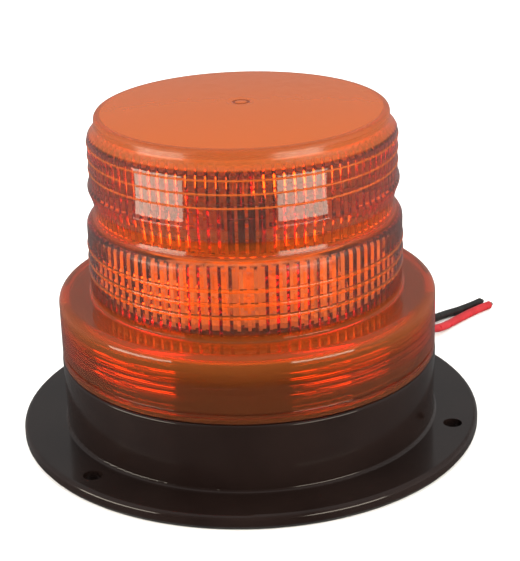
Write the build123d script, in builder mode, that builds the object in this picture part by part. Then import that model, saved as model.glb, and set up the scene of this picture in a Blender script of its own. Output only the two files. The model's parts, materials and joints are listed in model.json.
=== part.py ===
"""Amber LED warning beacon: a black three-bolt base, a screw-on lens and an LED tower.

Millimetres, +Z up. The origin is the centre of the mounting gasket's underside.
"""

import os
from math import cos, pi, radians, sin, tan

from build123d import *

os.makedirs("parts", exist_ok=True)

UP = (Align.CENTER, Align.CENTER, Align.MIN)

# Mounting flange and gasket
flange_r = 72.0
gasket_thick = 1.0
flange_top = 4.5
hole_circle_r = 65.0
hole_r = 2.9
hole_first_angle = -16.5
gasket_outer_r = 71.0
gasket_inner_r = 56.2

# Base housing: drum, shoulder, threaded neck and deck
drum_foot_r = 58.1
drum_top_r = 58.5
shoulder_z = 25.9
neck_r = 54.9
deck_top = 43.6
deck_thick = 2.5
deck_under = deck_top - deck_thick
neck_inner_r = 52.4
cavity_r = 53.6
cover_seat_r = 55.4
cover_seat_z = 3.6
cavity_step_z = 23.4

# Screw thread between the neck and the lens, right-handed
thread_pitch = 2.25
thread_depth = 1.0
thread_root = 1.25
thread_crest = 0.55
thread_bite = 0.2
thread_start_z = 30.6
neck_thread_turns = 5.0
lens_thread_turns = 4.5

# Lens
lens_bore_r = 56.3
lens_skirt_r = 58.3
seal_seat_r = 57.8
seal_seat_z = 27.6
lens_bottom = 26.2
skirt_groove_z = 29.2
ledge_top = 46.9
ledge_under = 44.2
ledge_round = 2.8
dome_r = 48.1
dome_low_inner_r = 45.9
dome_low_inner_top = 70.0
dome_high_inner_r = 43.6
dome_high_inner_top = 98.6
band_r = 46.5
rim_r = 44.2
lens_top = 104.1
top_under = 101.8
flute_count = 96
flute_low_r = 46.6
flute_low_z = 48.2
flute_low_top = 69.2
flute_high_r = 44.6
flute_high_z = 72.4
flute_high_top = 97.8
seal_wire_r = 0.7
seal_ring_r = 56.95
seal_z = 26.8

# Cable exit, halfway between two mounting holes
exit_angle = 43.5
exit_z = 10.0
exit_pad_r = 59.4
exit_inner_r = 53.0
grommet_end_r = 66.0
exit_slot = (11.0, 6.4)
lead_gap = 2.3
lead_d = 2.9
lead_r = lead_d / 2
lead_hole_r = 1.5
core_r = 0.75
tip_len = 1.5

# Driver board, hung under the deck on three posts
board_thick = 1.6
driver_board_r = 44.0
driver_board_top = 27.6
driver_board_under = driver_board_top - board_thick
post_circle_r = 17.0
post_r = 3.6
post_angles = (30.0, 150.0, 270.0)
screw_r = 1.4
pilot_r = 1.45
screw_hole_r = 1.6

# Bottom cover bosses
boss_circle_r = 50.2
boss_r = 3.8
boss_angles = (90.0, 210.0, 330.0)
boss_pilot_top = 14.0
pilot_deep = 7.0
cover_r = 55.2
cover_under = 1.1
cover_rib_rings = ((42.0, 40.4), (24.0, 22.8))
cover_rib_high = 0.5

# LED tower
led_board_r = 31.5
led_board_top = deck_top + board_thick
tower_flat = 24.5
tower_wall = 2.4
tower_web = 2.0
tower_boss_r = 4.6
tower_top = 61.0
side_board_thick = 1.2
side_board_wide = 27.0
led_size = 5.0
led_step_wide = 8.4
led_step_high = 7.0
led_high = 1.2
led_dome_r = 1.9
top_led_circle_r = 18.0
led_dome_high = 0.6
tower_screw_r = 2.0
tower_hole_r = 2.2
top_board_top = tower_top + board_thick
washer_thick = 0.8

# Link between the two boards
link_y = 14.0
link_pitch = 2.54
link_pins_count = 4
pin_half = 0.32
header_wide = 2.6
header_high = 2.5


def polar(radius, angle):
    """The point at this radius and angle (degrees) in plan."""
    return (radius * cos(radians(angle)), radius * sin(radians(angle)))


def rounded(section, corners, radius):
    """Rounds the section's corners that lie nearest to these points."""
    fillet([section.vertices().sort_by_distance(corner)[0] for corner in corners], radius)


def ridge_section(wall_r, side, middle_z):
    """Points of a thread ridge on a wall: side is 1 to stand outwards and -1 inwards."""
    return [
        (wall_r - side * thread_bite, middle_z - thread_root / 2),
        (wall_r + side * thread_depth, middle_z - thread_crest / 2),
        (wall_r + side * thread_depth, middle_z + thread_crest / 2),
        (wall_r - side * thread_bite, middle_z + thread_root / 2),
    ]


exit_u = polar(1.0, exit_angle)
exit_left = polar(1.0, exit_angle + 90.0)


def exit_plane(radius):
    """A plane facing outwards at this radius on the cable exit's axis."""
    return Plane(
        origin=(radius * exit_u[0], radius * exit_u[1], exit_z),
        x_dir=(exit_left[0], exit_left[1], 0),
        z_dir=(exit_u[0], exit_u[1], 0),
    )


def exit_point(radius, offset, z):
    """The point at this radius along the exit's axis, this far to its left, at height z."""
    return (
        radius * exit_u[0] + offset * exit_left[0],
        radius * exit_u[1] + offset * exit_left[1],
        z,
    )


# ---------------------------------------------------------------- base housing
with BuildPart() as base_housing:
    with BuildSketch(Plane.XZ) as housing_section:
        with BuildLine():
            Polyline(
                (cover_seat_r, gasket_thick),
                (flange_r, gasket_thick),
                (flange_r, flange_top),
                (drum_foot_r, flange_top),
                (drum_top_r, shoulder_z),
                (neck_r, shoulder_z),
                (neck_r, deck_top),
                (0, deck_top),
                (0, deck_under),
                (neck_inner_r, deck_under),
                (neck_inner_r, cavity_step_z),
                (cavity_r, cavity_step_z),
                (cavity_r, cover_seat_z),
                (cover_seat_r, cover_seat_z),
                close=True,
            )
        make_face()
        rounded(housing_section, [(flange_r, flange_top)], 1.3)
        rounded(housing_section, [(flange_r, gasket_thick)], 0.5)
        rounded(housing_section, [(drum_foot_r, flange_top)], 1.0)
        rounded(housing_section, [(drum_top_r, shoulder_z)], 0.7)
        rounded(housing_section, [(neck_r, deck_top)], 0.9)
        rounded(housing_section, [(neck_inner_r, deck_under)], 1.5)
    revolve(axis=Axis.Z)
    # Thread ridge on the neck
    with BuildLine() as neck_helix:
        Helix(thread_pitch, thread_pitch * neck_thread_turns, neck_r, center=(0, 0, thread_start_z))
    with BuildSketch(Plane.XZ):
        with BuildLine():
            Polyline(*ridge_section(neck_r, 1, thread_start_z), close=True)
        make_face()
    sweep(path=neck_helix.line, is_frenet=True)
    # Posts under the deck and bosses on the wall
    with BuildSketch(Plane.XY.offset(driver_board_top)):
        with Locations(*[polar(post_circle_r, angle) for angle in post_angles]):
            Circle(post_r)
    extrude(amount=deck_under - driver_board_top + 0.5)
    with BuildSketch(Plane.XY.offset(cover_seat_z)):
        with Locations(*[polar(boss_circle_r, angle) for angle in boss_angles]):
            Circle(boss_r)
    extrude(amount=cavity_step_z - cover_seat_z + 0.5)
    # Flat pad for the cable exit, and its slot
    with BuildSketch(exit_plane(exit_inner_r)):
        SlotOverall(17.0, 12.2)
    extrude(amount=exit_pad_r - exit_inner_r)
    with BuildSketch(exit_plane(exit_inner_r - 5.0)):
        SlotOverall(*exit_slot)
    extrude(amount=exit_pad_r - exit_inner_r + 10.0, mode=Mode.SUBTRACT)
    # Mounting holes, screw pilots and deck openings
    with BuildSketch(Plane.XY.offset(gasket_thick)):
        with PolarLocations(hole_circle_r, 3, start_angle=hole_first_angle):
            Circle(hole_r)
    extrude(amount=flange_top, mode=Mode.SUBTRACT)
    with BuildSketch(Plane.XY.offset(cover_seat_z)):
        with Locations(*[polar(boss_circle_r, angle) for angle in boss_angles]):
            Circle(pilot_r)
    extrude(amount=boss_pilot_top - cover_seat_z, mode=Mode.SUBTRACT)
    with BuildSketch(Plane.XY.offset(driver_board_top)):
        with Locations(*[polar(post_circle_r, angle) for angle in post_angles]):
            Circle(pilot_r)
    extrude(amount=pilot_deep, mode=Mode.SUBTRACT)
    with BuildSketch(Plane.XY.offset(deck_top)):
        with Locations(*[polar(post_circle_r, angle) for angle in post_angles]):
            Circle(pilot_r)
    extrude(amount=-pilot_deep, mode=Mode.SUBTRACT)
    with BuildSketch(Plane.XY.offset(deck_top)):
        Circle(tower_hole_r)
        with Locations((0, link_y)):
            Rectangle(link_pitch * link_pins_count + 2.0, 4.6)
    extrude(amount=-deck_thick, mode=Mode.SUBTRACT)
base_housing.part.label = "base_housing"
export_step(base_housing.part, "parts/base_housing.step")

# ---------------------------------------------------------------- mounting gasket
with BuildPart() as mounting_gasket:
    with BuildSketch():
        Circle(gasket_outer_r)
        Circle(gasket_inner_r, mode=Mode.SUBTRACT)
        with PolarLocations(hole_circle_r, 3, start_angle=hole_first_angle):
            Circle(hole_r, mode=Mode.SUBTRACT)
    extrude(amount=gasket_thick)
    chamfer(mounting_gasket.faces().sort_by(Axis.Z)[-1].outer_wire().edges(), 0.25)
mounting_gasket.part.label = "mounting_gasket"
export_step(mounting_gasket.part, "parts/mounting_gasket.step")

# ---------------------------------------------------------------- bottom cover, its screws and vent
vent_place = (-31.0, 8.0)
vent_r = 3.0
with BuildPart() as bottom_cover:
    with BuildSketch(Plane.XY.offset(cover_under)):
        Circle(cover_r)
    extrude(amount=cover_seat_z - cover_under)
    with BuildSketch(Plane.XY.offset(cover_seat_z)):
        for rib_outer_r, rib_inner_r in cover_rib_rings:
            Circle(rib_outer_r)
            Circle(rib_inner_r, mode=Mode.SUBTRACT)
    extrude(amount=cover_rib_high)
    with BuildSketch(Plane.XY.offset(cover_under)):
        with Locations(vent_place):
            Circle(vent_r)
    extrude(amount=cover_seat_z, mode=Mode.SUBTRACT)
    with Locations(Plane.XY.offset(cover_under).rotated((180, 0, 0))):
        with Locations(*[polar(boss_circle_r, -angle) for angle in boss_angles]):
            CounterSinkHole(screw_hole_r, 3.1)
bottom_cover.part.label = "bottom_cover"
export_step(bottom_cover.part, "parts/bottom_cover.step")

with BuildPart() as bottom_cover_screws:
    with BuildSketch(Plane.XZ) as cover_screw_section:
        with BuildLine():
            Polyline(
                (0, cover_under + 0.2),
                (2.7, cover_under + 0.2),
                (screw_r, cover_under + 1.5),
                (screw_r, 12.0),
                (0.5, 13.4),
                (0, 13.4),
                close=True,
            )
        make_face()
    revolve(axis=Axis.Z)
    with BuildSketch(Plane.XY.offset(cover_under + 0.2)):
        Rectangle(2.6, 0.6)
        Rectangle(0.6, 2.6)
    extrude(amount=0.8, mode=Mode.SUBTRACT)
cover_screw = bottom_cover_screws.part
with BuildPart() as bottom_cover_screws:
    with Locations(*[polar(boss_circle_r, angle) for angle in boss_angles]):
        add(cover_screw)
bottom_cover_screws.part.label = "bottom_cover_screws"
export_step(bottom_cover_screws.part, "parts/bottom_cover_screws.step")

with BuildPart() as vent_plug:
    with BuildSketch(Plane.XY.offset(cover_under + 0.1)):
        with Locations(vent_place):
            Circle(vent_r)
    extrude(amount=cover_seat_z - cover_under)
    with BuildSketch(Plane.XY.offset(cover_seat_z)):
        with Locations(vent_place):
            Circle(vent_r + 0.9)
            Circle(vent_r, mode=Mode.SUBTRACT)
    extrude(amount=0.9)
    with BuildSketch(Plane.XY.offset(cover_seat_z + 0.1)):
        with Locations(vent_place):
            Circle(vent_r)
    extrude(amount=0.8)
    with BuildSketch(Plane.XY.offset(cover_under + 0.1)):
        with Locations(vent_place):
            Circle(0.6)
    extrude(amount=1.4, mode=Mode.SUBTRACT)
vent_plug.part.label = "vent_plug"
export_step(vent_plug.part, "parts/vent_plug.step")

# ---------------------------------------------------------------- cable grommet
with BuildPart() as cable_grommet:
    with BuildSketch(exit_plane(exit_inner_r - 1.2)):
        SlotOverall(13.0, 8.6)
    extrude(amount=1.2)
    with BuildSketch(exit_plane(exit_inner_r)):
        SlotOverall(*exit_slot)
    extrude(amount=exit_pad_r - exit_inner_r)
    with BuildSketch(exit_plane(exit_pad_r)):
        SlotOverall(14.0, 9.4)
    extrude(amount=1.4)
    with BuildSketch(exit_plane(exit_pad_r + 1.4)):
        SlotOverall(11.4, 6.8)
    extrude(amount=grommet_end_r - exit_pad_r - 1.4, taper=6)
    with BuildSketch(exit_plane(exit_inner_r - 2.0)):
        with Locations((-lead_gap, 0), (lead_gap, 0)):
            Circle(lead_hole_r)
    extrude(amount=grommet_end_r - exit_inner_r + 4.0, mode=Mode.SUBTRACT)
cable_grommet.part.label = "cable_grommet"
export_step(cable_grommet.part, "parts/cable_grommet.step")

# ---------------------------------------------------------------- flying leads
floor_z = lead_r + 0.03
lead_routes = {
    "red": [
        exit_point(grommet_end_r, -lead_gap, exit_z),
        exit_point(73.5, -lead_gap, exit_z),
        (61.0, 54.0, 6.3),
        (67.0, 58.6, 2.2),
        (74.8, 68.0, floor_z),
        (82.6, 76.3, floor_z),
        (89.2, 81.8, floor_z),
    ],
    "black": [
        exit_point(grommet_end_r, lead_gap, exit_z),
        exit_point(73.5, lead_gap, exit_z),
        (57.2, 58.4, 6.3),
        (62.6, 65.0, 2.2),
        (70.6, 73.4, floor_z),
        (79.4, 78.4, floor_z),
        (86.4, 85.0, floor_z),
    ],
}


def corner_radii(points):
    """The largest arcs that fit the route's corners: 0.45 of the shorter run each side."""
    radii = []
    for before, here, after in zip(points, points[1:], points[2:]):
        run_in = Vector(*here) - Vector(*before)
        run_out = Vector(*after) - Vector(*here)
        half_turn = radians(run_in.get_angle(run_out)) / 2
        radii.append(0.45 * min(run_in.length, run_out.length) / tan(half_turn))
    return radii


for colour, route in lead_routes.items():
    radii = corner_radii(route)
    print("lead", colour, "arc radii", [round(radius, 1) for radius in radii])
    with BuildPart() as lead:
        with BuildLine():
            lead_path = FilletPolyline(*route, radius=radii)
        with BuildSketch(Plane(origin=lead_path @ 0, z_dir=lead_path % 0)):
            Circle(lead_r)
        sweep(path=lead_path)
    print("lead", colour, "length", round(lead_path.length, 2))
    print("lead", colour, "volume ratio", lead.part.volume / (pi * lead_r**2 * lead_path.length))
    lead.part.label = f"lead_{colour}"
    export_step(lead.part, f"parts/lead_{colour}.step")

    with BuildPart() as lead_tip:
        with BuildSketch(Plane(origin=lead_path @ 1, z_dir=lead_path % 1)):
            Circle(core_r)
        extrude(amount=tip_len)
        chamfer(lead_tip.faces().sort_by(Axis.Y)[-1].edges(), 0.15)
    lead_tip.part.label = f"lead_{colour}_tip"
    export_step(lead_tip.part, f"parts/lead_{colour}_tip.step")

# ---------------------------------------------------------------- leads inside the housing
terminal_face_r = 40.0
terminal_z = 19.3
terminal_depth = 4.0
for colour, side in (("red", -1), ("black", 1)):
    with BuildPart() as inner_lead:
        with BuildLine() as inner_path:
            FilletPolyline(
                exit_point(grommet_end_r, side * lead_gap, exit_z),
                exit_point(47.5, side * lead_gap, exit_z),
                exit_point(44.0, side * lead_gap, terminal_z),
                exit_point(terminal_face_r - terminal_depth + 0.5, side * lead_gap, terminal_z),
                radius=6.0,
            )
        with BuildSketch(Plane(origin=inner_path.line @ 0, z_dir=inner_path.line % 0)):
            Circle(lead_r)
        sweep(path=inner_path.line)
    inner_lead.part.label = f"inner_lead_{colour}"
    export_step(inner_lead.part, f"parts/inner_lead_{colour}.step")

# ---------------------------------------------------------------- driver board and its parts
with BuildPart() as driver_board:
    with BuildSketch(Plane.XY.offset(driver_board_under)):
        Circle(driver_board_r)
        with Locations(*[polar(post_circle_r, angle) for angle in post_angles]):
            Circle(screw_hole_r, mode=Mode.SUBTRACT)
        with Locations((0, link_y)):
            with GridLocations(link_pitch, 0, link_pins_count, 1):
                Circle(0.5, mode=Mode.SUBTRACT)
    extrude(amount=board_thick)
driver_board.part.label = "driver_board"
export_step(driver_board.part, "parts/driver_board.step")

with BuildPart() as driver_screw:
    with BuildSketch(Plane.XZ) as driver_screw_section:
        with BuildLine():
            Polyline(
                (0, driver_board_under + 6.5),
                (0.6, driver_board_under + 6.5),
                (screw_r, driver_board_under + 5.5),
                (screw_r, driver_board_under),
                (2.7, driver_board_under),
                (2.7, driver_board_under - 1.2),
                (1.9, driver_board_under - 1.9),
                (0, driver_board_under - 1.9),
                close=True,
            )
        make_face()
    revolve(axis=Axis.Z)
    with BuildSketch(Plane.XY.offset(driver_board_under - 1.9)):
        Rectangle(2.6, 0.6)
        Rectangle(0.6, 2.6)
    extrude(amount=0.9, mode=Mode.SUBTRACT)
with BuildPart() as driver_board_screws:
    with Locations(*[polar(post_circle_r, angle) for angle in post_angles]):
        add(driver_screw.part)
driver_board_screws.part.label = "driver_board_screws"
export_step(driver_board_screws.part, "parts/driver_board_screws.step")

terminal_high = 10.0
terminal_deep = 8.0
terminal_pitch = 2 * lead_gap
terminal_plane = Plane(
    origin=(*polar(terminal_face_r - terminal_deep / 2, exit_angle), driver_board_under - terminal_high),
    x_dir=(exit_left[0], exit_left[1], 0),
)
with BuildPart() as terminal_block:
    with BuildSketch(terminal_plane):
        Rectangle(2 * terminal_pitch + 1.6, terminal_deep)
    extrude(amount=terminal_high)
    with BuildSketch(exit_plane(terminal_face_r - terminal_depth)):
        with Locations((-lead_gap, terminal_z - exit_z), (lead_gap, terminal_z - exit_z)):
            Circle(lead_hole_r + 0.1)
    extrude(amount=terminal_depth, mode=Mode.SUBTRACT)
    with BuildSketch(terminal_plane):
        with Locations((-lead_gap, -1.8), (lead_gap, -1.8)):
            Circle(1.7)
    extrude(amount=1.6, mode=Mode.SUBTRACT)
terminal_block.part.label = "terminal_block"
export_step(terminal_block.part, "parts/terminal_block.step")

with BuildPart() as terminal_screws:
    with BuildSketch(terminal_plane.offset(0.4)):
        with Locations((-lead_gap, -1.8), (lead_gap, -1.8)):
            Circle(1.6)
    extrude(amount=1.2)
    with BuildSketch(terminal_plane.offset(0.4)):
        with Locations((-lead_gap, -1.8), (lead_gap, -1.8)):
            Rectangle(3.6, 0.5)
    extrude(amount=0.6, mode=Mode.SUBTRACT)
terminal_screws.part.label = "terminal_screws"
export_step(terminal_screws.part, "parts/terminal_screws.step")

capacitor_places = ((-20.0, -13.5), (-9.0, -21.5))
capacitor_high = 14.0
with BuildPart() as smoothing_capacitors:
    with BuildSketch(Plane.XY.offset(driver_board_under)):
        with Locations(*capacitor_places):
            Circle(5.0)
    extrude(amount=-capacitor_high)
    fillet(smoothing_capacitors.faces().group_by(Axis.Z)[0].edges(), 0.6)
    with BuildSketch(Plane.XY.offset(driver_board_under - capacitor_high)):
        with Locations(*capacitor_places):
            Rectangle(5.5, 0.4)
            Rectangle(0.4, 5.5)
    extrude(amount=0.25, mode=Mode.SUBTRACT)
smoothing_capacitors.part.label = "smoothing_capacitors"
export_step(smoothing_capacitors.part, "parts/smoothing_capacitors.step")

inductor_place = (15.0, -19.0)
inductor_flange_r, inductor_flange_thick = 6.2, 1.2
bobbin_r, bobbin_high = 3.2, 5.6
with BuildPart() as inductor_core:
    with BuildSketch(Plane.XY.offset(driver_board_under)):
        with Locations(inductor_place):
            Circle(inductor_flange_r)
    extrude(amount=-inductor_flange_thick)
    with BuildSketch(Plane.XY.offset(driver_board_under - inductor_flange_thick)):
        with Locations(inductor_place):
            Circle(bobbin_r)
    extrude(amount=-bobbin_high)
    with BuildSketch(Plane.XY.offset(driver_board_under - inductor_flange_thick - bobbin_high)):
        with Locations(inductor_place):
            Circle(inductor_flange_r)
    extrude(amount=-inductor_flange_thick)
inductor_core.part.label = "inductor_core"
export_step(inductor_core.part, "parts/inductor_core.step")

with BuildPart() as inductor_winding:
    with BuildSketch(Plane.XY.offset(driver_board_under - inductor_flange_thick)):
        with Locations(inductor_place):
            Circle(5.4)
            Circle(bobbin_r, mode=Mode.SUBTRACT)
    extrude(amount=-bobbin_high)
    fillet(inductor_winding.edges().filter_by(GeomType.CIRCLE).group_by(SortBy.RADIUS)[-1], 0.5)
inductor_winding.part.label = "inductor_winding"
export_step(inductor_winding.part, "parts/inductor_winding.step")

fuse_place = (31.0, -4.0)
with BuildPart() as input_fuse:
    with BuildSketch(Plane.XY.offset(driver_board_under)):
        with Locations(fuse_place):
            Circle(4.2)
    extrude(amount=-7.5)
    fillet(input_fuse.faces().sort_by(Axis.Z)[0].edges(), 0.5)
input_fuse.part.label = "input_fuse"
export_step(input_fuse.part, "parts/input_fuse.step")

diode_place = (25.0, 9.0)
with BuildPart() as protection_diode:
    with BuildSketch(Plane.XY.offset(driver_board_under - 0.2)):
        with Locations(diode_place):
            Rectangle(4.6, 3.6)
    extrude(amount=-2.1, taper=5)
    with BuildSketch(Plane.XY.offset(driver_board_under)):
        with Locations(diode_place):
            Rectangle(6.4, 2.2)
    extrude(amount=-0.3)
protection_diode.part.label = "protection_diode"
export_step(protection_diode.part, "parts/protection_diode.step")

chip_places = ((2.0, -8.0), (-5.5, 3.0), (8.0, 22.0))
with BuildPart() as chip:
    with BuildSketch(Plane.XY.offset(driver_board_under - 0.15)):
        Rectangle(4.9, 3.9)
    extrude(amount=-1.5, taper=5)
    with BuildSketch(Plane.XY.offset(driver_board_under)):
        with GridLocations(1.27, 0, 4, 1):
            Rectangle(0.42, 6.0)
    extrude(amount=-0.25)
    with BuildSketch(Plane.XY.offset(driver_board_under - 0.25)):
        with GridLocations(1.27, 4.3, 4, 2):
            Rectangle(0.42, 0.9)
    extrude(amount=-0.5)
with BuildPart() as driver_chips:
    with Locations(*chip_places):
        add(chip.part)
driver_chips.part.label = "driver_chips"
export_step(driver_chips.part, "parts/driver_chips.step")

# ---------------------------------------------------------------- link between the boards
link_bottom = driver_board_under - 1.2
link_top = led_board_top + header_high + 0.6
with BuildPart() as link_pins:
    with BuildSketch(Plane.XY.offset(link_bottom)):
        with Locations((0, link_y)):
            with GridLocations(link_pitch, 0, link_pins_count, 1):
                Rectangle(2 * pin_half, 2 * pin_half)
    extrude(amount=link_top - link_bottom)
link_pins.part.label = "link_pins"
export_step(link_pins.part, "parts/link_pins.step")

with BuildPart() as link_headers:
    for header_z in (driver_board_top, led_board_top):
        with BuildSketch(Plane.XY.offset(header_z)):
            with Locations((0, link_y)):
                Rectangle(link_pitch * link_pins_count, header_wide)
                with GridLocations(link_pitch, 0, link_pins_count, 1):
                    Rectangle(2 * pin_half, 2 * pin_half, mode=Mode.SUBTRACT)
        extrude(amount=header_high)
link_headers.part.label = "link_headers"
export_step(link_headers.part, "parts/link_headers.step")

# ---------------------------------------------------------------- LED base board and screws
with BuildPart() as led_base_board:
    with BuildSketch(Plane.XY.offset(deck_top)):
        Circle(led_board_r)
        Circle(tower_hole_r, mode=Mode.SUBTRACT)
        with Locations(*[polar(post_circle_r, angle) for angle in post_angles]):
            Circle(screw_hole_r, mode=Mode.SUBTRACT)
        with Locations((0, link_y)):
            with GridLocations(link_pitch, 0, link_pins_count, 1):
                Circle(0.5, mode=Mode.SUBTRACT)
    extrude(amount=board_thick)
led_base_board.part.label = "led_base_board"
export_step(led_base_board.part, "parts/led_base_board.step")

with BuildPart() as base_screw:
    with BuildSketch(Plane.XZ) as base_screw_section:
        with BuildLine():
            Polyline(
                (0, led_board_top - 6.5),
                (0.6, led_board_top - 6.5),
                (screw_r, led_board_top - 5.5),
                (screw_r, led_board_top),
                (2.7, led_board_top),
                (2.7, led_board_top + 1.1),
                (1.9, led_board_top + 1.9),
                (0, led_board_top + 1.9),
                close=True,
            )
        make_face()
    revolve(axis=Axis.Z)
    with BuildSketch(Plane.XY.offset(led_board_top + 1.9)):
        Rectangle(2.6, 0.6)
        Rectangle(0.6, 2.6)
    extrude(amount=-0.9, mode=Mode.SUBTRACT)
with BuildPart() as led_base_screws:
    with Locations(*[polar(post_circle_r, angle) for angle in post_angles]):
        add(base_screw.part)
led_base_screws.part.label = "led_base_screws"
export_step(led_base_screws.part, "parts/led_base_screws.step")

# ---------------------------------------------------------------- LED tower
with BuildPart() as tower_core:
    with BuildSketch(Plane.XY.offset(led_board_top)):
        RegularPolygon(tower_flat, 6, major_radius=False)
        RegularPolygon(tower_flat - tower_wall, 6, major_radius=False, mode=Mode.SUBTRACT)
        with PolarLocations(tower_flat / 2, 6):
            Rectangle(tower_flat, tower_web)
        Circle(tower_boss_r)
        Circle(tower_hole_r, mode=Mode.SUBTRACT)
    extrude(amount=tower_top - led_board_top)
tower_core.part.label = "tower_core"
export_step(tower_core.part, "parts/tower_core.step")

side_board_mid = (led_board_top + tower_top) / 2
side_board_high = tower_top - led_board_top - 0.4
with BuildPart() as single_led:
    with BuildSketch():
        Rectangle(led_size, led_size)
    extrude(amount=led_high)
    chamfer(single_led.faces().sort_by(Axis.Z)[-1].edges(), 0.2)
    with BuildSketch(Plane.XY.offset(led_high)):
        Circle(led_dome_r)
    extrude(amount=led_dome_high)
    fillet(single_led.faces().sort_by(Axis.Z)[-1].edges(), 0.4)
for number in range(6):
    angle = 60.0 * number + 30.0
    face_u = polar(1.0, angle)
    face_side = (-face_u[1], face_u[0], 0)
    face_plane = Plane(
        origin=(tower_flat * face_u[0], tower_flat * face_u[1], side_board_mid),
        x_dir=face_side,
        z_dir=(face_u[0], face_u[1], 0),
    )
    with BuildPart() as led_board:
        with BuildSketch(face_plane):
            Rectangle(side_board_wide, side_board_high)
        extrude(amount=side_board_thick)
    led_board.part.label = f"led_board_{number + 1}"
    export_step(led_board.part, f"parts/led_board_{number + 1}.step")

    with BuildPart() as leds:
        with Locations(face_plane.offset(side_board_thick)):
            with GridLocations(led_step_wide, led_step_high, 3, 2):
                add(single_led.part)
    leds.part.label = f"leds_{number + 1}"
    export_step(leds.part, f"parts/leds_{number + 1}.step")

with BuildPart() as top_led_board:
    with BuildSketch(Plane.XY.offset(tower_top)):
        RegularPolygon(tower_flat + side_board_thick, 6, major_radius=False)
        Circle(tower_hole_r, mode=Mode.SUBTRACT)
    extrude(amount=board_thick)
top_led_board.part.label = "top_led_board"
export_step(top_led_board.part, "parts/top_led_board.step")

with BuildPart() as top_leds:
    with Locations(Plane.XY.offset(top_board_top)):
        with PolarLocations(top_led_circle_r, 6, start_angle=30):
            add(single_led.part)
top_leds.part.label = "top_leds"
export_step(top_leds.part, "parts/top_leds.step")

with BuildPart() as tower_washer:
    with BuildSketch(Plane.XY.offset(top_board_top)):
        Circle(4.5)
        Circle(tower_hole_r, mode=Mode.SUBTRACT)
    extrude(amount=washer_thick)
tower_washer.part.label = "tower_washer"
export_step(tower_washer.part, "parts/tower_washer.step")

tower_head_z = top_board_top + washer_thick
with BuildPart() as tower_screw:
    with BuildSketch(Plane.XZ):
        with BuildLine():
            Polyline(
                (0, 36.0),
                (1.3, 36.0),
                (tower_screw_r, 37.0),
                (tower_screw_r, tower_head_z),
                (3.8, tower_head_z),
                (3.8, tower_head_z + 1.4),
                (2.8, tower_head_z + 2.4),
                (0, tower_head_z + 2.4),
                close=True,
            )
        make_face()
    revolve(axis=Axis.Z)
    with BuildSketch(Plane.XY.offset(tower_head_z + 2.4)):
        Rectangle(3.8, 0.8)
        Rectangle(0.8, 3.8)
    extrude(amount=-1.2, mode=Mode.SUBTRACT)
tower_screw.part.label = "tower_screw"
export_step(tower_screw.part, "parts/tower_screw.step")

nut_high = 3.2
with BuildPart() as tower_nut:
    with BuildSketch(Plane.XY.offset(deck_under - nut_high)):
        RegularPolygon(3.5, 6, major_radius=False)
        Circle(tower_screw_r, mode=Mode.SUBTRACT)
    extrude(amount=nut_high)
tower_nut.part.label = "tower_nut"
export_step(tower_nut.part, "parts/tower_nut.step")

# ---------------------------------------------------------------- lens seal ring
with BuildPart() as lens_seal_ring:
    with BuildSketch(Plane.XZ):
        with Locations((seal_ring_r, seal_z)):
            Circle(seal_wire_r)
    revolve(axis=Axis.Z)
lens_seal_ring.part.label = "lens_seal_ring"
export_step(lens_seal_ring.part, "parts/lens_seal_ring.step")

# ---------------------------------------------------------------- lens
dome_rib_heights = (54.55, 58.45, 62.65)
dome_rib_half, dome_rib_rise = 0.70, 0.30
band_rib_heights = (86.45, 90.45, 94.45)
band_rib_half, band_rib_rise = 0.35, 0.25
rib_root = 0.4


def star(inner_r, outer_r, count):
    """Corner points of a star with this many teeth between two radii."""
    step = 180.0 / count
    return [polar(inner_r if index % 2 else outer_r, index * step) for index in range(2 * count)]


def rib_section(wall_r, middle_z, half, rise):
    """Points of a small pointed rib on the outside of a wall."""
    return [
        (wall_r - rib_root, middle_z - half),
        (wall_r, middle_z - half),
        (wall_r + rise, middle_z),
        (wall_r, middle_z + half),
        (wall_r - rib_root, middle_z + half),
    ]


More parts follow.
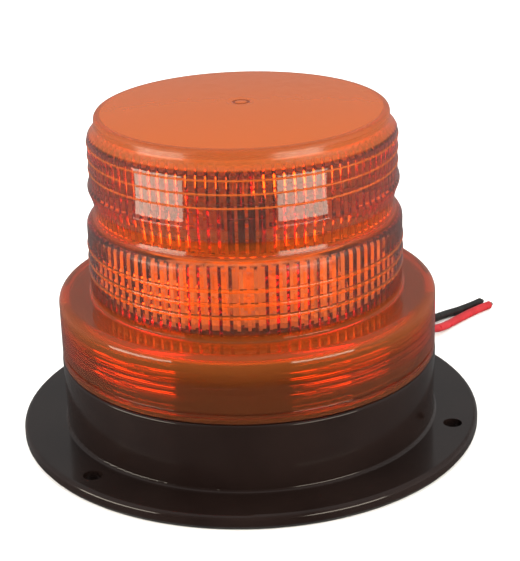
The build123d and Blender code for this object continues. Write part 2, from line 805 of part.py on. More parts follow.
with BuildPart() as lens:
    with BuildSketch(Plane.XZ) as lens_section:
        with BuildLine():
            Polyline(
                (0, lens_top),
                (21.5, 103.68),
                (42.9, 102.4),
                (rim_r, 101.2),
                (rim_r, 99.3),
                (band_r, 96.2),
                (band_r, 82.0),
                (47.2, 80.9),
                (45.6, 75.6),
                (45.6, 71.2),
                (dome_r, 69.9),
                (dome_r, ledge_top),
                (lens_skirt_r, ledge_top),
                (lens_skirt_r, skirt_groove_z + 0.5),
                (lens_skirt_r - 0.6, skirt_groove_z + 0.3),
                (lens_skirt_r - 0.6, skirt_groove_z - 0.3),
                (lens_skirt_r, skirt_groove_z - 0.5),
                (lens_skirt_r, lens_bottom),
                (seal_seat_r, lens_bottom),
                (seal_seat_r, seal_seat_z),
                (lens_bore_r, seal_seat_z),
                (lens_bore_r, ledge_under),
                (dome_low_inner_r, ledge_under),
                (dome_low_inner_r, dome_low_inner_top),
                (dome_high_inner_r, 71.4),
                (dome_high_inner_r, dome_high_inner_top),
                (41.8, 100.2),
                (20.9, 101.4),
                (0, top_under),
                close=True,
            )
        make_face()
        rounded(lens_section, [(lens_skirt_r, ledge_top)], ledge_round)
        rounded(lens_section, [(lens_bore_r, ledge_under)], 1.5)
        rounded(lens_section, [(dome_r, 69.9)], 0.8)
        rounded(lens_section, [(dome_r, ledge_top), (dome_low_inner_r, ledge_under)], 0.6)
    revolve(axis=Axis.Z)
    # Optic ribs round the dome and the band
    with BuildSketch(Plane.XZ):
        for wall_r, heights, half, rise in (
            (dome_r, dome_rib_heights, dome_rib_half, dome_rib_rise),
            (band_r, band_rib_heights, band_rib_half, band_rib_rise),
        ):
            for rib_z in heights:
                with BuildLine():
                    Polyline(*rib_section(wall_r, rib_z, half, rise), close=True)
                make_face()
    revolve(axis=Axis.Z)
    # Light-spreading flutes inside the dome
    with BuildSketch(Plane.XY.offset(flute_low_z)):
        with BuildLine():
            Polyline(*star(dome_low_inner_r - 0.3, flute_low_r, flute_count), close=True)
        make_face()
    extrude(amount=flute_low_top - flute_low_z, mode=Mode.SUBTRACT)
    with BuildSketch(Plane.XY.offset(flute_high_z)):
        with BuildLine():
            Polyline(*star(dome_high_inner_r - 0.3, flute_high_r, flute_count), close=True)
        make_face()
    extrude(amount=flute_high_top - flute_high_z, mode=Mode.SUBTRACT)
    # Thread ridge inside the skirt, half a pitch away from the neck's
    lens_thread_z = thread_start_z + thread_pitch / 2
    with BuildLine() as lens_helix:
        Helix(thread_pitch, thread_pitch * lens_thread_turns, lens_bore_r, center=(0, 0, lens_thread_z))
    with BuildSketch(Plane.XZ):
        with BuildLine():
            Polyline(*ridge_section(lens_bore_r, -1, lens_thread_z), close=True)
        make_face()
    sweep(path=lens_helix.line, is_frenet=True)
lens.part.label = "lens"
export_step(lens.part, "parts/lens.step")
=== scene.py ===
import json
import math

import bpy
import numpy as np
from mathutils import Matrix, Vector


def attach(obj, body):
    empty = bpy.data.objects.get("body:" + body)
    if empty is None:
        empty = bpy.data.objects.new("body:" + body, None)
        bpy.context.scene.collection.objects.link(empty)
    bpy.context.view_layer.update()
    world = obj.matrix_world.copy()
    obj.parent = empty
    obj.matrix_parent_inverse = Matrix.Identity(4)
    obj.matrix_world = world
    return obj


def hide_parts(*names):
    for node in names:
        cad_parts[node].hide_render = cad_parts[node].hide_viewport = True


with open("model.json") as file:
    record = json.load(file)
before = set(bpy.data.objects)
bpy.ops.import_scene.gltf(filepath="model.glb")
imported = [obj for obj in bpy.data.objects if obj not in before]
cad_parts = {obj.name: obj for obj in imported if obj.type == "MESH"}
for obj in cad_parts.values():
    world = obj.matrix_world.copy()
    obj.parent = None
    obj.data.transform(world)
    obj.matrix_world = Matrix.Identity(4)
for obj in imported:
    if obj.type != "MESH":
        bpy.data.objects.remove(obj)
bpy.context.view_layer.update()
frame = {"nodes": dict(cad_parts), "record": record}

# The looks of an amber LED warning beacon: a black bolt-down base, a screw-on fluted amber lens
# over an LED tower, and two flying leads. The CAD nodes stay where they are and get materials,
# and a finer lens wall and smoother wires stand in for the CAD's lens and insulation.

MM = 0.001
NODES = frame["nodes"]
SLOT_OF_NODE = {part["node"]: part["material_slot"] for part in frame["record"]["subparts"]}


# ---------------------------------------------------------------- camera

AIM = Vector((0.0, 0.0, 0.0460))
CAMERA_DISTANCE = 0.4919
CAMERA_ELEVATION = math.radians(21.8)
CAMERA_ROLL = math.radians(-1.857)
FOCAL_LENGTH = 101.5                        # in millimetres, like the sensor's width
SENSOR_WIDTH = 36.0
CAMERA_SHIFT = (0.0235, 0.0041)


def add_camera():
    data = bpy.data.cameras.new("camera")
    data.lens = FOCAL_LENGTH
    data.sensor_width = SENSOR_WIDTH
    data.shift_x, data.shift_y = CAMERA_SHIFT
    camera = bpy.data.objects.new("camera", data)
    bpy.context.scene.collection.objects.link(camera)
    back = Vector((0.0, -math.cos(CAMERA_ELEVATION), math.sin(CAMERA_ELEVATION)))
    camera.location = AIM + CAMERA_DISTANCE * back
    look = (-back).to_track_quat("-Z", "Y").to_matrix()
    camera.rotation_euler = (look @ Matrix.Rotation(CAMERA_ROLL, 3, "Z")).to_euler()
    bpy.context.scene.camera = camera


add_camera()


# ---------------------------------------------------------------- materials


class Graph:
    """A material's node graph, with short calls for the nodes that every finish here uses."""

    def __init__(self, name):
        self.material = bpy.data.materials.new(name)
        self.material.use_nodes = True
        self.nodes = self.material.node_tree.nodes
        self.links = self.material.node_tree.links
        self.nodes.clear()
        self.output = self.nodes.new("ShaderNodeOutputMaterial")
        self.shader = self.nodes.new("ShaderNodeBsdfPrincipled")
        self.links.new(self.shader.outputs["BSDF"], self.output.inputs["Surface"])
        self.place = self.nodes.new("ShaderNodeTexCoord").outputs["Object"]

    def noise(self, scale, detail=3.0, stretch=(1.0, 1.0, 1.0)):
        """A noise value around 0.5, finer with a larger scale and drawn out by stretch."""
        mapping = self.nodes.new("ShaderNodeMapping")
        mapping.inputs["Scale"].default_value = stretch
        self.links.new(self.place, mapping.inputs["Vector"])
        noise = self.nodes.new("ShaderNodeTexNoise")
        noise.inputs["Scale"].default_value = scale
        noise.inputs["Detail"].default_value = detail
        self.links.new(mapping.outputs["Vector"], noise.inputs["Vector"])
        return noise.outputs["Fac"]

    def wave(self, scale, axis, distortion=0.0):
        """Even bands across one axis."""
        wave = self.nodes.new("ShaderNodeTexWave")
        wave.bands_direction = axis
        wave.inputs["Scale"].default_value = scale
        wave.inputs["Distortion"].default_value = distortion
        self.links.new(self.place, wave.inputs["Vector"])
        return wave.outputs["Fac"]

    def spread(self, value, low, high, start=0.35, end=0.65):
        """Maps a value from start..end to low..high."""
        node = self.nodes.new("ShaderNodeMapRange")
        node.inputs["From Min"].default_value = start
        node.inputs["From Max"].default_value = end
        node.inputs["To Min"].default_value = low
        node.inputs["To Max"].default_value = high
        self.links.new(value, node.inputs["Value"])
        return node.outputs["Result"]

    def blend(self, value, first, second):
        """A colour from first, which can be a node's output, to second, as value goes from 0 to 1."""
        mix = self.nodes.new("ShaderNodeMix")
        mix.data_type = "RGBA"
        if isinstance(first, tuple):
            mix.inputs["A"].default_value = (*first, 1.0)
        else:
            self.links.new(first, mix.inputs["A"])
        mix.inputs["B"].default_value = (*second, 1.0)
        self.links.new(value, mix.inputs["Factor"])
        return mix.outputs["Result"]

    def combine(self, operation, first, second):
        """One of the renderer's sums of two values, such as MULTIPLY or MAXIMUM."""
        node = self.nodes.new("ShaderNodeMath")
        node.operation = operation
        self.links.new(first, node.inputs[0])
        self.links.new(second, node.inputs[1])
        return node.outputs["Value"]

    def carried(self, attribute):
        """A value that the mesh carries at each of its points."""
        node = self.nodes.new("ShaderNodeAttribute")
        node.attribute_name = attribute
        return node.outputs["Fac"]

    def bump(self, value, depth):
        """Raises the surface by depth metres where value is 1."""
        bump = self.nodes.new("ShaderNodeBump")
        bump.inputs["Distance"].default_value = depth
        self.links.new(value, bump.inputs["Height"])
        self.links.new(bump.outputs["Normal"], self.shader.inputs["Normal"])

    def set(self, **values):
        for name, value in values.items():
            self.shader.inputs[name.replace("_", " ")].default_value = value

    def drive(self, socket, value):
        self.links.new(value, self.shader.inputs[socket])


def moulded(name, dark, light, rough, grain, depth, ior=1.5, scale=90.0):
    """Moulded plastic or rubber: a slow colour drift, uneven gloss and a fine surface grain."""
    graph = Graph(name)
    graph.set(IOR=ior)
    graph.drive("Base Color", graph.blend(graph.spread(graph.noise(scale), 0, 1), dark, light))
    graph.drive("Roughness", graph.spread(graph.noise(scale * 1.7, 5.0), *rough))
    graph.bump(graph.noise(grain, 2.0), depth)
    return graph


def metal(name, dark, light, rough, stretch=(1.0, 1.0, 1.0), scale=900.0, depth=4e-6):
    """Bare or plated metal, drawn out by stretch into a brushed grain."""
    graph = Graph(name)
    graph.set(Metallic=1.0)
    streak = graph.noise(scale, 4.0, stretch)
    graph.drive("Base Color", graph.blend(graph.spread(streak, 0, 1), dark, light))
    graph.drive("Roughness", graph.spread(graph.noise(scale * 0.6, 4.0, stretch), *rough))
    graph.bump(streak, depth)
    return graph


ACRYLIC_IOR = 1.49
CLEAR = (1.0, 1.0, 1.0)
HAZE_COLOUR = (1.0, 0.25, 0.055)            # of slightly milky walls
HAZE_CLOUD = 0.08                           # the cloud value at which they have all of it
DISC_COLOUR = (0.56, 0.112, 0.007)          # of the milky top disc
DISC_CLOUD = (0.3, 0.7)                     # the cloud values over which it takes over from the haze
CLOUDY_CLEARNESS = 0.35                     # share of light that a fully cloudy face lets straight through
AMBER_DYE = (0.992, 0.690, 0.260, 1.0)
AMBER_DENSITY = 1000.0                      # per metre: 1 mm passes exp(dye - 1) of each colour


def amber_lens():
    """Clear amber acrylic. The mesh's frost value roughens it, and its cloud value makes it milky."""
    graph = Graph("amber_lens")
    graph.set(IOR=ACRYLIC_IOR)
    frost, cloud = graph.carried("frost"), graph.carried("cloud")
    polish = graph.spread(graph.noise(120.0, 4.0), 0.02, 0.05)
    etched = graph.combine("MULTIPLY", frost, graph.spread(graph.noise(400.0), 0.42, 0.55))
    graph.drive("Roughness", graph.combine("MAXIMUM", polish, etched))
    graph.drive("Transmission Weight", graph.spread(cloud, 1.0, CLOUDY_CLEARNESS, 0, 1))
    haze = graph.blend(graph.spread(cloud, 0, 1, 0, HAZE_CLOUD), CLEAR, HAZE_COLOUR)
    graph.drive("Base Color", graph.blend(graph.spread(cloud, 0, 1, *DISC_CLOUD), haze, DISC_COLOUR))
    graph.bump(graph.noise(35.0, 1.0), 6e-6)
    volume = graph.nodes.new("ShaderNodeVolumeAbsorption")
    volume.inputs["Color"].default_value = AMBER_DYE
    volume.inputs["Density"].default_value = AMBER_DENSITY
    graph.links.new(volume.outputs["Volume"], graph.output.inputs["Volume"])
    return graph.material


def solder_mask(name, mask, copper):
    """Circuit board lacquer, a little lighter over the copper tracks under it."""
    graph = Graph(name)
    runs = graph.spread(graph.wave(90.0, "X", 6.0), 0, 1, 0.45, 0.55)
    patches = graph.spread(graph.noise(160.0, 1.0), 0, 1, 0.45, 0.55)
    tracks = graph.combine("MULTIPLY", runs, patches)
    graph.drive("Base Color", graph.blend(tracks, mask, copper))
    graph.drive("Roughness", graph.spread(graph.noise(500.0), 0.25, 0.38))
    graph.bump(tracks, 1.5e-5)
    return graph.material


def copper_winding():
    graph = metal("copper_wire", (0.55, 0.20, 0.07), (0.75, 0.33, 0.12), (0.22, 0.34))
    graph.bump(graph.wave(400.0, "Z"), 1.2e-4)
    return graph.material


def pvc(name, dark, light):
    """Wire insulation: extruded, satin, with a slow colour drift, uneven gloss and scuffs."""
    return moulded(name, dark, light, (0.26, 0.42), 1500.0, 8e-6, scale=220.0).material


MATERIALS = {
    "black_plastic": moulded("black_plastic", (0.0090, 0.0052, 0.0045), (0.0125, 0.0075, 0.0065),
                             (0.10, 0.17), 2600.0, 1.2e-6, ior=1.49, scale=45.0).material,
    "amber_lens": amber_lens(),
    "black_rubber": moulded("black_rubber", (0.014, 0.014, 0.014), (0.026, 0.026, 0.025), (0.55, 0.75),
                            1400.0, 2e-5).material,
    "red_pvc": pvc("red_pvc", (0.32, 0.010, 0.014), (0.40, 0.016, 0.022)),
    "black_pvc": pvc("black_pvc", (0.008, 0.008, 0.008), (0.016, 0.016, 0.016)),
    "tinned_copper": metal("tinned_copper", (0.62, 0.58, 0.52), (0.82, 0.80, 0.76), (0.22, 0.40)).material,
    "green_board": solder_mask("green_board", (0.010, 0.110, 0.040), (0.020, 0.190, 0.070)),
    "white_board": solder_mask("white_board", (0.72, 0.72, 0.70), (0.82, 0.82, 0.80)),
    "terminal_plastic": moulded("terminal_plastic", (0.02, 0.24, 0.09), (0.03, 0.30, 0.12), (0.35, 0.50),
                                1200.0, 1e-5).material,
    "steel": metal("steel", (0.50, 0.50, 0.48), (0.68, 0.68, 0.66), (0.22, 0.38)).material,
    "capacitor_sleeve": moulded("capacitor_sleeve", (0.012, 0.012, 0.040), (0.022, 0.022, 0.060),
                                (0.18, 0.28), 900.0, 4e-6).material,
    "ferrite": moulded("ferrite", (0.045, 0.044, 0.044), (0.075, 0.073, 0.072), (0.55, 0.75),
                       2500.0, 2e-5).material,
    "copper_wire": copper_winding(),
    "fuse_body": moulded("fuse_body", (0.38, 0.015, 0.015), (0.48, 0.025, 0.022), (0.20, 0.32),
                         900.0, 4e-6).material,
    "chip_epoxy": moulded("chip_epoxy", (0.022, 0.022, 0.024), (0.036, 0.036, 0.038), (0.50, 0.65),
                          3000.0, 1e-5).material,
    "header_plastic": moulded("header_plastic", (0.015, 0.015, 0.015), (0.024, 0.024, 0.024), (0.40, 0.55),
                              1200.0, 1e-5).material,
    "bare_aluminium": metal("bare_aluminium", (0.70, 0.70, 0.72), (0.86, 0.86, 0.88), (0.24, 0.40),
                            stretch=(1.0, 1.0, 0.04)).material,
    "led_package": moulded("led_package", (0.84, 0.58, 0.12), (0.94, 0.72, 0.20), (0.22, 0.36),
                           900.0, 6e-6).material,
    "vent_membrane": moulded("vent_membrane", (0.66, 0.66, 0.64), (0.80, 0.80, 0.78), (0.70, 0.85),
                             2200.0, 3e-5).material,
}


def finish_cad_nodes():
    for name, node in NODES.items():
        node.data.materials.clear()
        node.data.materials.append(MATERIALS[SLOT_OF_NODE[name]])


finish_cad_nodes()


def place_piece(piece, body, node, slot):
    """The piece rides on a body, stands for a CAD node and takes its finish from a record slot."""
    piece.data.materials.append(MATERIALS[slot])
    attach(piece, body)
    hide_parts(node)


# ---------------------------------------------------------------- leads

LEAD_DIAMETER = 0.0029
LEAD_EXITS = {"red": (0.049458, 0.043763, 0.010), "black": (0.046291, 0.047100, 0.010)}
LEAD_ROUTES = {
    "red": [(0.0549, 0.0489, 0.0100), (0.0610, 0.0540, 0.0063), (0.0670, 0.0586, 0.0022),
            (0.0748, 0.0680, 0.00148), (0.0826, 0.0763, 0.00148), (0.0892, 0.0818, 0.00148)],
    "black": [(0.0517, 0.0523, 0.0100), (0.0572, 0.0584, 0.0063), (0.0626, 0.0650, 0.0022),
              (0.0706, 0.0734, 0.00148), (0.0794, 0.0784, 0.00148), (0.0864, 0.0850, 0.00148)],
}


def add_lead(colour):
    name = f"lead_{colour}"
    data = bpy.data.curves.new(f"{name}_wire", "CURVE")
    data.dimensions = "3D"
    data.bevel_depth = LEAD_DIAMETER / 2
    data.bevel_resolution = 6
    data.resolution_u = 16
    data.use_fill_caps = True
    spline = data.splines.new("NURBS")
    points = [LEAD_EXITS[colour], *LEAD_ROUTES[colour]]
    spline.points.add(len(points) - 1)
    for point, place in zip(spline.points, points):
        point.co = (*place, 1.0)
    spline.order_u = 3
    spline.use_endpoint_u = True
    lead = bpy.data.objects.new(f"{name}_wire", data)
    bpy.context.scene.collection.objects.link(lead)
    place_piece(lead, "base", name, f"{colour}_pvc")


add_lead("red")
add_lead("black")


# ---------------------------------------------------------------- lens

# This section is in millimetres. The lens wall is a closed grid of rings, each level, cut by the flutes
# or crossed by the thread. Its points carry two values for the material: frost and cloud.

FLUTES = 96
FLUTE_STEPS = (0.0, 0.16, 0.32, 0.66)       # where a flute's mesh columns stand, as parts of its pitch
FLUTE_WAVE = (0.0, 0.0, 0.0, 1.0)           # how far the groove is cut at each of them
COLUMNS = FLUTES * len(FLUTE_STEPS)
TURN = np.array([(flute + step) / FLUTES for flute in range(FLUTES) for step in FLUTE_STEPS])
GROOVE = np.tile(FLUTE_WAVE, FLUTES)

# Top disc, with the moulding gate's two round marks: radius, width and depth of each
CROWN_TOP, CROWN_DROP, DISC_RADIUS = 104.1, 1.7, 42.9
GATE_MARKS = ((2.25, 0.28, 0.30), (3.5, 0.20, 0.05))
GATE_ROWS = (0.9, 1.6, 1.95, 2.25, 2.55, 2.9, 3.3, 3.5, 3.7, 4.3)
DISC_ROWS = (6, 9, 13, 17, 21, 25, 29, 33, 37, 40, 42)
UNDERSIDE_TOP, UNDERSIDE_RADIUS = 101.8, 42.0
UNDERSIDE_ROWS = (41.0, 36, 30, 24, 18, 12, 6, 2)

# Outer face, from the rim down: points of the section as radius and height
RIM_RADIUS, RIM_ROUND = 44.2, 1.3
BAND_RADIUS, DOME_RADIUS = 46.5, 48.1
BAND_SHOULDER = ((RIM_RADIUS, 99.3), (44.35, 98.6), (44.85, 97.9), (45.5, 97.2), (46.05, 96.6), (46.4, 96.0))
BEAD = ((46.6, 82.2), (46.75, 81.8), (47.1, 81.4), (47.2, 80.9), (47.15, 80.3), (46.9, 79.6))
WAIST = ((46.3, 78.0), (45.9, 76.6), (45.65, 75.2), (45.6, 73.2), (45.65, 71.6), (45.9, 71.1))
DOME_SHOULDER = ((46.4, 70.75), (47.1, 70.3), (47.65, 69.75), (48.0, 69.1), (DOME_RADIUS, 68.3))
LEDGE_TOP, FOOT_ROUND, LEDGE_ROUND = 46.9, 1.0, 2.8
SKIRT_RADIUS, LENS_BOTTOM = 58.3, 26.2
SKIRT_DROPS = ((0, 38.0), (0, 33.0), (0, 29.75), (0.15, 29.55), (0.55, 29.45), (0.6, 29.2),
               (0.55, 28.95), (0.15, 28.85), (0, 28.65), (0, 26.6), (0.12, 26.3), (0.3, LENS_BOTTOM))

# Raised ribs: heights of their middles, then each one's half height and rise
BAND_RIBS, BAND_RIB_HALF, BAND_RIB_RISE = (94.45, 90.45, 86.45), 0.35, 0.25
DOME_RIBS, DOME_RIB_HALF, DOME_RIB_RISE = (62.65, 58.45, 54.55), 0.70, 0.30

# Inner face, and the right-handed thread in the skirt
SEAL_SEAT_RADIUS, SEAL_SEAT_TOP = 57.8, 27.6
LEDGE_UNDERSIDE, BORE_ROUND = 44.2, 1.5
LOW_BORE, LOW_GROOVE = 45.9, 46.6
HIGH_BORE, HIGH_GROOVE = 43.6, 44.6
THREAD_BORE = 56.3
THREAD_PITCH, THREAD_DEPTH, THREAD_TURNS = 2.25, 1.0, 4.5
THREAD_FIRST_HEIGHT = 31.725
THREAD_ROOT, THREAD_CREST = 2.1, 0.15
THREAD_FADE = 0.04                          # of a turn, at each end of the ridge
THREAD_SPAN, THREAD_ROWS = (29.6, 42.6), 72

# Cloud: 1 is the milky top disc, and 0 is clear
GATE_CLOUD, GATE_CLEAR = 0.2, (1.7, 2.8)    # the gate's mark is clearer between these radii
CLOUD_ABOVE = ((97.0, 0.34), (76.0, 0.04), (70.4, 0.14), (49.5, 0.03), (44.0, 0.19), (0.0, 0.075))
BAND_RIB_PAINTED_HIGHLIGHT, DOME_RIB_PAINTED_HIGHLIGHT = 0.6, 0.25  # painted highlight: the ribs are made milky in place of the light they gather, and show as bright lines
RIB_PAINTED_HIGHLIGHT_SHARE = 0.9                         # of a rib's half height that is made milky as a painted highlight

# Frost: 1 is the etched underside of the top, and 0 is polished
MILKY_FROST, MILKY_CLOUD = 0.45, 0.3        # of the outer face wherever it is cloudier than this
SHOULDER_FROST, SHOULDER_HEIGHTS = 0.4, (67.5, 72.0)
THREAD_FROST = 0.08                         # a moulded thread is less polished than the optic walls

SHARP_EDGE = math.radians(32)


def level(radius, height):
    """One ring of the lens mesh, level all round."""
    return np.full(COLUMNS, radius), np.full(COLUMNS, height)


def levels(section):
    """Level rings through points of the section, each a radius and a height."""
    return [level(radius, height) for radius, height in section]


def fluted(land, groove, height):
    """One ring cut by the flutes, from the land's radius out to the groove's."""
    return land + (groove - land) * GROOVE, np.full(COLUMNS, height)


def arc(centre, radius, start, end, steps):
    """Rings along a round corner of the section, between two angles in degrees."""
    angles = np.radians(np.linspace(start, end, steps + 1))
    return [level(centre[0] + radius * math.cos(a), centre[1] + radius * math.sin(a)) for a in angles]


def crown(radius):
    """The top disc's height, lowered in the gate's marks."""
    gate = sum(depth * math.exp(-(((radius - middle) / width) ** 2)) for middle, width, depth in GATE_MARKS)
    return CROWN_TOP - CROWN_DROP * (radius / DISC_RADIUS) ** 2 - gate


def optic_ring(radius, height, half, rise):
    """A small raised rib round the wall."""
    sides = ((1.3, 0.0), (1.0, 0.0), (0.55, 0.75), (0.0, 1.0), (-0.55, 0.75), (-1.0, 0.0), (-1.3, 0.0))
    return [level(radius + rise * out, height + half * up) for up, out in sides]


def threaded(height):
    """One ring of the bore with the right-handed thread's rounded ridge standing in from it."""
    turns = (height - THREAD_FIRST_HEIGHT) / THREAD_PITCH
    lap = np.round(turns - TURN)
    offset = np.abs(turns - TURN - lap) * THREAD_PITCH
    slope = np.clip((THREAD_ROOT / 2 - offset) / (THREAD_ROOT / 2 - THREAD_CREST / 2), 0, 1)
    along = TURN + lap
    fade = np.clip(np.minimum(along, THREAD_TURNS - along) / THREAD_FADE, 0, 1)
    ridge = THREAD_DEPTH * fade * slope
    return THREAD_BORE - ridge, np.full(COLUMNS, height)


def outer_rings():
    rings = [level(radius, crown(radius)) for radius in GATE_ROWS + DISC_ROWS]
    rings += arc((DISC_RADIUS, crown(DISC_RADIUS) - RIM_ROUND), RIM_ROUND, 85, 0, 6)
    rings += levels(BAND_SHOULDER)
    for height in BAND_RIBS:
        rings += optic_ring(BAND_RADIUS, height, BAND_RIB_HALF, BAND_RIB_RISE)
    rings += levels(BEAD + WAIST + DOME_SHOULDER)
    for height in DOME_RIBS:
        rings += optic_ring(DOME_RADIUS, height, DOME_RIB_HALF, DOME_RIB_RISE)
    rings.append(level(DOME_RADIUS, 49.8))
    rings += arc((DOME_RADIUS + FOOT_ROUND, LEDGE_TOP + FOOT_ROUND), FOOT_ROUND, 180, 270, 4)
    rings.append(level(52.5, LEDGE_TOP))
    rings += arc((SKIRT_RADIUS - LEDGE_ROUND, LEDGE_TOP - LEDGE_ROUND), LEDGE_ROUND, 90, 0, 8)
    rings += levels((SKIRT_RADIUS - drop, height) for drop, height in SKIRT_DROPS)
    return rings


def inner_rings():
    seat = ((SEAL_SEAT_RADIUS, LENS_BOTTOM), (SEAL_SEAT_RADIUS, SEAL_SEAT_TOP), (56.5, SEAL_SEAT_TOP))
    rings = levels(seat + ((THREAD_BORE, 27.8),))
    rings += [threaded(height) for height in np.linspace(*THREAD_SPAN, THREAD_ROWS)]
    rings += arc((THREAD_BORE - BORE_ROUND, LEDGE_UNDERSIDE - BORE_ROUND), BORE_ROUND, 0, 90, 5)
    rings += levels(((50.0, LEDGE_UNDERSIDE), (46.2, LEDGE_UNDERSIDE), (LOW_BORE, 44.5), (LOW_BORE, 48.2)))
    rings += [fluted(LOW_BORE, LOW_GROOVE, height) for height in (48.3, 58.0, 69.0)]
    rings += levels(((LOW_BORE, 69.2), (45.7, 70.3), (45.0, 71.0), (44.0, 71.5), (HIGH_BORE, 72.2)))
    rings += [fluted(HIGH_BORE, HIGH_GROOVE, height) for height in (72.9, 85.0, 96.2)]
    rings += levels(((HIGH_BORE, 98.4), (43.2, 99.4), (42.3, 100.0)))
    return rings


def underside_rings():
    """The etched underside of the top, from its edge to near its middle."""
    return [level(radius, UNDERSIDE_TOP - CROWN_DROP * (radius / UNDERSIDE_RADIUS) ** 2)
            for radius in UNDERSIDE_ROWS]


def on_a_rib(height, ribs, half):
    return any(abs(height - middle) < RIB_PAINTED_HIGHLIGHT_SHARE * half for middle in ribs)


def cloudiness(radius, height):
    """How milky the outer face is there. On the ribs this milkiness is a painted highlight."""
    if height > CROWN_TOP - CROWN_DROP - 0.1 and radius <= DISC_RADIUS:
        return GATE_CLOUD if GATE_CLEAR[0] < radius < GATE_CLEAR[1] else 1.0
    # painted highlight: the ribs are made milky so that they show as bright lines
    if on_a_rib(height, BAND_RIBS, BAND_RIB_HALF):
        return BAND_RIB_PAINTED_HIGHLIGHT
    if on_a_rib(height, DOME_RIBS, DOME_RIB_HALF):
        return DOME_RIB_PAINTED_HIGHLIGHT
    return next(cloud for lowest, cloud in CLOUD_ABOVE if height > lowest)


def frostiness(cloud, height):
    """How rough the outer face is there."""
    if cloud > MILKY_CLOUD:
        return MILKY_FROST
    return SHOULDER_FROST if SHOULDER_HEIGHTS[0] < height < SHOULDER_HEIGHTS[1] else 0.0


def grid_faces(ring_count):
    """Faces between the rings, and from the first and last ring to the points in their middles."""
    last = 1 + (ring_count - 1) * COLUMNS
    bottom = last + COLUMNS
    faces = [(0, 1 + c, 1 + (c + 1) % COLUMNS) for c in range(COLUMNS)]
    for near in range(1, last, COLUMNS):
        far = near + COLUMNS
        for c in range(COLUMNS):
            n = (c + 1) % COLUMNS
            faces.append((near + c, far + c, far + n, near + n))
    return faces + [(bottom, last + (c + 1) % COLUMNS, last + c) for c in range(COLUMNS)]


def lens_mesh():
    """The closed lens wall, rings from the top's middle out, down, and back up inside."""
    outer, inner, underside = outer_rings(), inner_rings(), underside_rings()
    cloud = [cloudiness(radius[0], height[0]) for radius, height in outer]
    frost = [frostiness(value, height[0]) for value, (radius, height) in zip(cloud, outer)]
    cloud += [0.0] * (len(inner) + len(underside))
    frost += [THREAD_FROST if height[0] < LEDGE_UNDERSIDE else 0.0 for radius, height in inner]
    frost += [1.0] * len(underside)

    rings = outer + inner + underside
    angle = 2 * math.pi * TURN
    points = [(0.0, 0.0, crown(0.0))]
    for radius, height in rings:
        points += zip(radius * np.cos(angle), radius * np.sin(angle), height)
    points.append((0.0, 0.0, UNDERSIDE_TOP))

    mesh = bpy.data.meshes.new("lens_amber")
    mesh.from_pydata([tuple(MM * value for value in point) for point in points], [],
                     grid_faces(len(rings)))
    for name, values in (("frost", frost), ("cloud", cloud)):
        attribute = mesh.attributes.new(name, "FLOAT", "POINT")
        attribute.data.foreach_set("value", [values[0], *np.repeat(values, COLUMNS), values[-1]])
    mesh.shade_smooth()
    mesh.set_sharp_from_angle(angle=SHARP_EDGE)
    mesh.update()
    return mesh


def add_lens():
    lens = bpy.data.objects.new("lens_amber", lens_mesh())
    bpy.context.scene.collection.objects.link(lens)
    even = lens.modifiers.new("even_shading", "WEIGHTED_NORMAL")
    even.keep_sharp = True
    place_piece(lens, "lens", "lens", "amber_lens")


add_lens()


# ---------------------------------------------------------------- floor, light and world

WHITE = (1.0, 1.0, 1.0, 1.0)
PAPER = (0.92, 0.92, 0.92, 1.0)
FLOOR_HALF = 4.0


def add_floor():
    """White paper. The gloss black base mirrors the studio's dark front rather than the paper."""
    near, far = -FLOOR_HALF, FLOOR_HALF
    mesh = bpy.data.meshes.new("floor")
    mesh.from_pydata([(near, near, 0), (far, near, 0), (far, far, 0), (near, far, 0)], [], [(0, 1, 2, 3)])
    floor = bpy.data.objects.new("floor", mesh)
    bpy.context.scene.collection.objects.link(floor)
    paper = Graph("floor_paper")
    paper.set(Base_Color=PAPER, Roughness=0.9, Specular_IOR_Level=0.1)
    mesh.materials.append(paper.material)
    floor.visible_glossy = False
    floor.visible_transmission = False


WARM_WHITE = (1.0, 0.90, 0.74)
FILTERED_ONCE = (1.0, 0.42, 0.16)           # daylight that has passed the lens


def add_panel(name, azimuth, width, bottom, top, radiance, distance=0.6, mirrored=True):
    """A soft upright panel facing the object. Azimuth runs from the camera's side towards +X."""
    data = bpy.data.lights.new(name, "AREA")
    data.shape = "RECTANGLE"
    data.size = width
    data.size_y = top - bottom
    data.energy = radiance * math.pi * width * (top - bottom)
    data.color = WARM_WHITE
    panel = bpy.data.objects.new(name, data)
    bpy.context.scene.collection.objects.link(panel)
    turn = math.radians(azimuth)
    out = Vector((math.sin(turn), -math.cos(turn), 0.0))
    panel.location = distance * out + Vector((0, 0, (top + bottom) / 2))
    panel.rotation_euler = out.to_track_quat("Z", "Y").to_euler()
    panel.visible_camera = False
    panel.visible_glossy = mirrored


def add_inner_fill(count=12, radius=0.041, height=0.057, power=0.004):
    """Small lamps for daylight that comes in through the clear lens, which the renderer can't trace."""
    for number in range(count):
        data = bpy.data.lights.new(f"inner_fill_{number}", "POINT")
        data.energy = power
        data.color = FILTERED_ONCE
        data.shadow_soft_size = 0.004
        lamp = bpy.data.objects.new(f"inner_fill_{number}", data)
        bpy.context.scene.collection.objects.link(lamp)
        turn = 2 * math.pi * number / count
        lamp.location = (radius * math.cos(turn), radius * math.sin(turn), height)
        lamp.visible_camera = lamp.visible_glossy = lamp.visible_transmission = False


SEEN_STRENGTH = 1.0                         # of the world behind, as it shows through the lens
LIGHT_STRENGTH = 1.7                        # of its light on matt faces
MIRRORED_STRENGTH = 0.34
FRONT_SHARE = 0.12                          # of the seen and mirrored strengths, on the camera's dark side
UNDER_SHARE = 0.35                          # of the mirrored strength, below the horizon
FRONT_FADE = (-0.85, -0.25)                 # of a ray's Y, over which the dark front ends
HORIZON_FADE = (-0.45, -0.10)               # of its Z


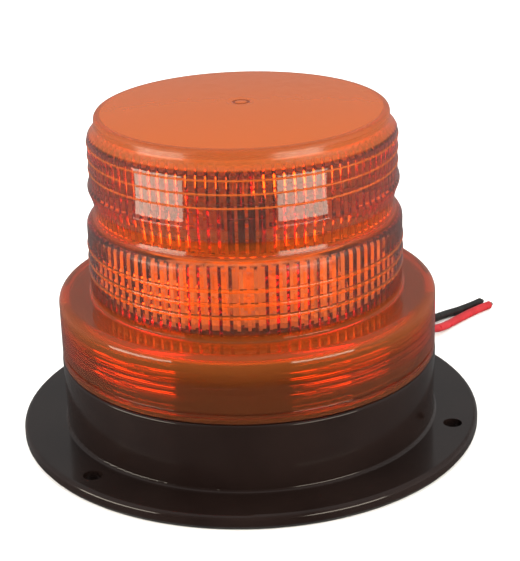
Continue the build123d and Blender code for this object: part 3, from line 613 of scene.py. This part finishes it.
def add_world():
    """A white studio round the object, open and dark towards the camera's side."""
    world = bpy.data.worlds.new("studio")
    world.use_nodes = True
    bpy.context.scene.world = world
    nodes, links = world.node_tree.nodes, world.node_tree.links
    nodes.clear()
    output = nodes.new("ShaderNodeOutputWorld")
    path = nodes.new("ShaderNodeLightPath")
    direction = nodes.new("ShaderNodeSeparateXYZ")
    links.new(nodes.new("ShaderNodeTexCoord").outputs["Generated"], direction.inputs["Vector"])

    def fade(axis, span, low, high):
        node = nodes.new("ShaderNodeMapRange")
        node.interpolation_type = "SMOOTHSTEP"
        node.inputs["From Min"].default_value, node.inputs["From Max"].default_value = span
        node.inputs["To Min"].default_value = low
        node.inputs["To Max"].default_value = high
        links.new(direction.outputs[axis], node.inputs["Value"])
        return node.outputs["Result"]

    def background(strength, front_share, under_share):
        sky = nodes.new("ShaderNodeBackground")
        sky.inputs["Color"].default_value = WHITE
        product = nodes.new("ShaderNodeMath")
        product.operation = "MULTIPLY"
        links.new(fade("Y", FRONT_FADE, front_share, 1.0), product.inputs[0])
        links.new(fade("Z", HORIZON_FADE, strength * under_share, strength), product.inputs[1])
        links.new(product.outputs["Value"], sky.inputs["Strength"])
        return sky.outputs["Background"]

    shown = background(1.0, 1.0, 1.0)
    for ray, strength, front_share, under_share in (
        ("Is Transmission Ray", SEEN_STRENGTH, FRONT_SHARE, 1.0),
        ("Is Diffuse Ray", LIGHT_STRENGTH, 1.0, 1.0),
        ("Is Glossy Ray", MIRRORED_STRENGTH, FRONT_SHARE, UNDER_SHARE),
    ):
        mix = nodes.new("ShaderNodeMixShader")
        links.new(path.outputs[ray], mix.inputs["Fac"])
        links.new(shown, mix.inputs[1])
        links.new(background(strength, front_share, under_share), mix.inputs[2])
        shown = mix.outputs["Shader"]
    links.new(shown, output.inputs["Surface"])


LENS_BOUNCES = 24                           # a ray can cross the lens wall many times
MIRROR_BOUNCES = 12


def set_render_look():
    scene = bpy.context.scene
    scene.view_settings.view_transform = "Standard"
    scene.cycles.max_bounces = LENS_BOUNCES
    scene.cycles.transmission_bounces = LENS_BOUNCES
    scene.cycles.transparent_max_bounces = LENS_BOUNCES
    scene.cycles.glossy_bounces = MIRROR_BOUNCES
    scene.cycles.use_denoising = True


add_floor()
for side, azimuth, width in (("left", -63, 0.44), ("right", 41, 0.40)):
    add_panel(f"panel_{side}", azimuth, width, bottom=-0.118, top=0.075, radiance=7.0)
for side, azimuth in (("left", -75), ("right", 60)):
    add_panel(f"fill_{side}", azimuth, 0.9, bottom=0.12, top=0.9, radiance=4.0, distance=0.8, mirrored=False)
add_inner_fill()
add_world()
set_render_look()
